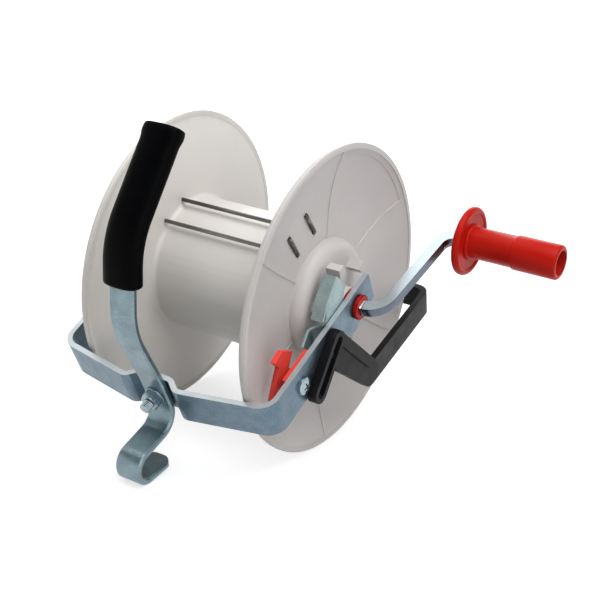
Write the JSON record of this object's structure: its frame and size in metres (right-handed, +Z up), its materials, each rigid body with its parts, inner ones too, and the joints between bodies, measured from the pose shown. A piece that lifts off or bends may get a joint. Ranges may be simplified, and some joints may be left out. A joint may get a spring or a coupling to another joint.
{
  "type": "electric fence reel",
  "caption": "Hand reel for electric fence cord: dished drum on a square crank axle in a bent-bar frame with carrying handle, fence hook, spool lock and wire guide.",
  "frame": {"origin": "on the floor, under the middle of the bounding box", "axes": "+X along the drum axle towards the crank, +Y away from the handle, +Z up"},
  "size_m": [0.312, 0.2828, 0.2554],
  "materials": {
    "zinc": "bright zinc plating with a faint blue tint",
    "galvanised_wire": "drawn galvanised wire",
    "white_plastic": "moulded off-white plastic, satin",
    "red_plastic": "moulded red plastic, semi-gloss",
    "black_sleeve": "black dipped sleeve, satin",
    "dark_plastic": "dark moulded plastic, matt"
  },
  "bodies": {
    "frame": {"frame_yoke": "zinc", "handle_strap": "zinc", "handle_grip": "black_sleeve", "clamp_bolt": "zinc", "clamp_washer": "zinc", "clamp_nut": "zinc", "lock_screw": "zinc", "lock_nut": "zinc", "wire_guide": "dark_plastic", "guide_rivets": "zinc"},
    "spool": {"drum_barrel": "white_plastic", "right_flange": "white_plastic", "left_flange": "white_plastic", "contact_wires": "galvanised_wire", "crank_bar": "zinc", "right_bush": "red_plastic", "right_collar": "red_plastic", "left_bush": "red_plastic", "left_collar": "red_plastic", "axle_clip": "zinc", "grip_clip": "zinc"},
    "grip": {"crank_grip": "red_plastic"},
    "lever": {"lock_lever": "red_plastic"},
    "leaf": {"lock_leaf": "zinc"}
  },
  "joints": [
    {"name": "spool_spin", "type": "hinge", "parent": "frame", "child": "spool", "pos_m": [-0.0539, 0.01237, 0.115], "axis": [1, 0, 0], "continuous": true},
    {"name": "grip_spin", "type": "hinge", "parent": "spool", "child": "grip", "pos_m": [0.0821, 0.08447, 0.15612], "axis": [1, 0, 0], "continuous": true},
    {"name": "lever_turn", "type": "hinge", "parent": "frame", "child": "lever", "pos_m": [0.0321, -0.05833, 0.07975], "axis": [1, 0, 0], "range_deg": [-18, 0]},
    {"name": "leaf_drop", "type": "hinge", "parent": "frame", "child": "leaf", "pos_m": [0.0321, -0.05833, 0.07975], "axis": [1, 0, 0], "range_deg": [-2.4, 0]}
  ],
  "couplings": [
    {"joint": "leaf_drop", "follows": "lever_turn", "ratio": 0.1333}
  ]
}
